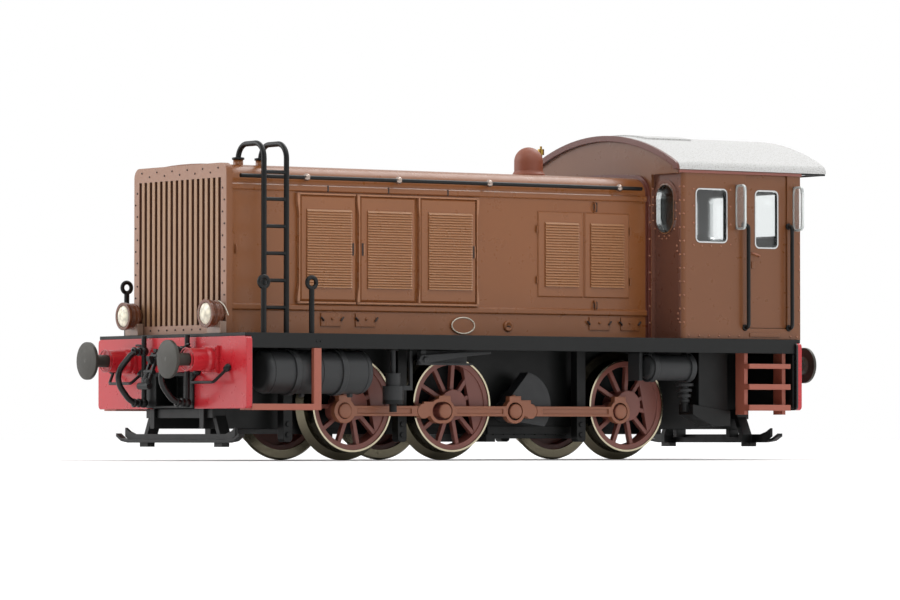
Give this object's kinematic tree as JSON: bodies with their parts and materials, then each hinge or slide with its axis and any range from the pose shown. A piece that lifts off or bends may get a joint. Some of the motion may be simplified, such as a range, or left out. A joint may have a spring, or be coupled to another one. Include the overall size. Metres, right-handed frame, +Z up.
{
  "type": "model diesel locomotive",
  "caption": "Small-scale model of a rod-driven diesel shunting locomotive with a long louvred hood, a rear cab, spoked wheels on coupling rods and red buffer beams.",
  "frame": {"origin": "bottom centre of the bounding box, at the bottom of the wheel flanges", "axes": "+X forward towards the radiator, +Y to the left side, +Z up"},
  "size_m": [0.1062, 0.0386, 0.0453],
  "materials": {
    "body_brown": "satin brown paint",
    "grille_brown": "satin purplish brown paint",
    "beam_red": "satin red paint",
    "roof_grey": "light grey, fine speckle",
    "frame_black": "matt black grey",
    "hose_black": "black hose",
    "rail_black": "black wire",
    "core_black": "dark radiator",
    "lamp_brown": "gloss brown",
    "lamp_glass": "clear lens",
    "window_glass": "clear pane",
    "deflector_glass": "clear pane",
    "window_chrome": "polished frame",
    "exhaust_brown": "red brown",
    "whistle_brass": "brass",
    "step_brown": "red brown",
    "wheel_brown": "red brown plastic",
    "rod_brown": "red brown",
    "crank_grey": "dark grey",
    "tyre_nickel": "nickel plated",
    "axle_steel": "steel",
    "buffer_grey": "dull dark grey",
    "weight_metal": "plain casting"
  },
  "bodies": {
    "locomotive_body": {"air_hoses": "hose_black", "air_tanks": "frame_black", "beams": "beam_red", "brake_cylinders": "frame_black", "brake_hangers": "frame_black", "buffer_heads": "buffer_grey", "buffer_sleeves": "beam_red", "cab_doors": "body_brown", "cab_floor": "frame_black", "cab_front_fascia": "body_brown", "cab_front_wall": "body_brown", "cab_handrails": "rail_black", "cab_panes": "window_glass", "cab_rear_wall": "body_brown", "cab_roof": "roof_grey", "cab_side_walls": "body_brown", "cab_window_frames": "window_chrome", "coupler_pockets": "frame_black", "draw_hooks": "frame_black", "engine_doors": "body_brown", "engine_end_doors": "body_brown", "exhaust_stack": "exhaust_brown", "frame_plates": "frame_black", "front_steps": "step_brown", "gear_block": "frame_black", "headlamp_lenses": "lamp_glass", "headlamps": "lamp_brown", "hood": "body_brown", "hood_handrails": "rail_black", "hood_hatches": "body_brown", "hood_ladders": "rail_black", "keeper_plate": "frame_black", "lamp_irons": "rail_black", "motor_block": "weight_metal", "radiator_core": "core_black", "radiator_grille": "grille_brown", "rail_guards": "frame_black", "rear_steps": "step_brown", "running_deck": "frame_black", "sandboxes": "frame_black", "screw_couplings": "frame_black", "shunting_grips": "rail_black", "side_pipes": "frame_black", "tank_straps": "frame_black", "whistle": "whistle_brass", "wind_deflectors": "deflector_glass"},
    "wheelset_1": {"axle_1": "axle_steel", "tyres_1": "tyre_nickel", "wheel_centres_1": "wheel_brown"},
    "wheelset_2": {"axle_2": "axle_steel", "tyres_2": "tyre_nickel", "wheel_centres_2": "wheel_brown"},
    "wheelset_3": {"axle_3": "axle_steel", "tyres_3": "tyre_nickel", "wheel_centres_3": "wheel_brown"},
    "jackshaft_unit": {"jackshaft": "axle_steel", "jackshaft_cranks": "crank_grey"},
    "left_rods": {"left_coupling_rods": "rod_brown"},
    "right_rods": {"right_coupling_rods": "rod_brown"}
  },
  "joints": [
    {"name": "wheelset_1_turn", "type": "hinge", "parent": "locomotive_body", "child": "wheelset_1", "pos_m": [0.0239, 0, 0.00742], "axis": [0, 1, 0], "continuous": true},
    {"name": "wheelset_2_turn", "type": "hinge", "parent": "locomotive_body", "child": "wheelset_2", "pos_m": [0.0078, 0, 0.00742], "axis": [0, 1, 0], "continuous": true},
    {"name": "wheelset_3_turn", "type": "hinge", "parent": "locomotive_body", "child": "wheelset_3", "pos_m": [-0.0215, 0, 0.00742], "axis": [0, 1, 0], "continuous": true},
    {"name": "jackshaft_turn", "type": "hinge", "parent": "locomotive_body", "child": "jackshaft_unit", "pos_m": [-0.0038, 0, 0.00742], "axis": [0, 1, 0], "continuous": true},
    {"name": "left_rods_pivot", "type": "hinge", "parent": "wheelset_1", "child": "left_rods", "pos_m": [0.02625, 0.0112, 0.00656], "axis": [0, 1, 0], "continuous": true},
    {"name": "right_rods_pivot", "type": "hinge", "parent": "wheelset_1", "child": "right_rods", "pos_m": [0.02476, -0.0112, 0.00977], "axis": [0, 1, 0], "continuous": true}
  ],
  "couplings": [
    {"joint": "wheelset_2_turn", "follows": "wheelset_1_turn", "ratio": 1},
    {"joint": "wheelset_3_turn", "follows": "wheelset_1_turn", "ratio": 1},
    {"joint": "jackshaft_turn", "follows": "wheelset_1_turn", "ratio": 1},
    {"joint": "left_rods_pivot", "follows": "wheelset_1_turn", "ratio": -1},
    {"joint": "right_rods_pivot", "follows": "wheelset_1_turn", "ratio": -1}
  ]
}
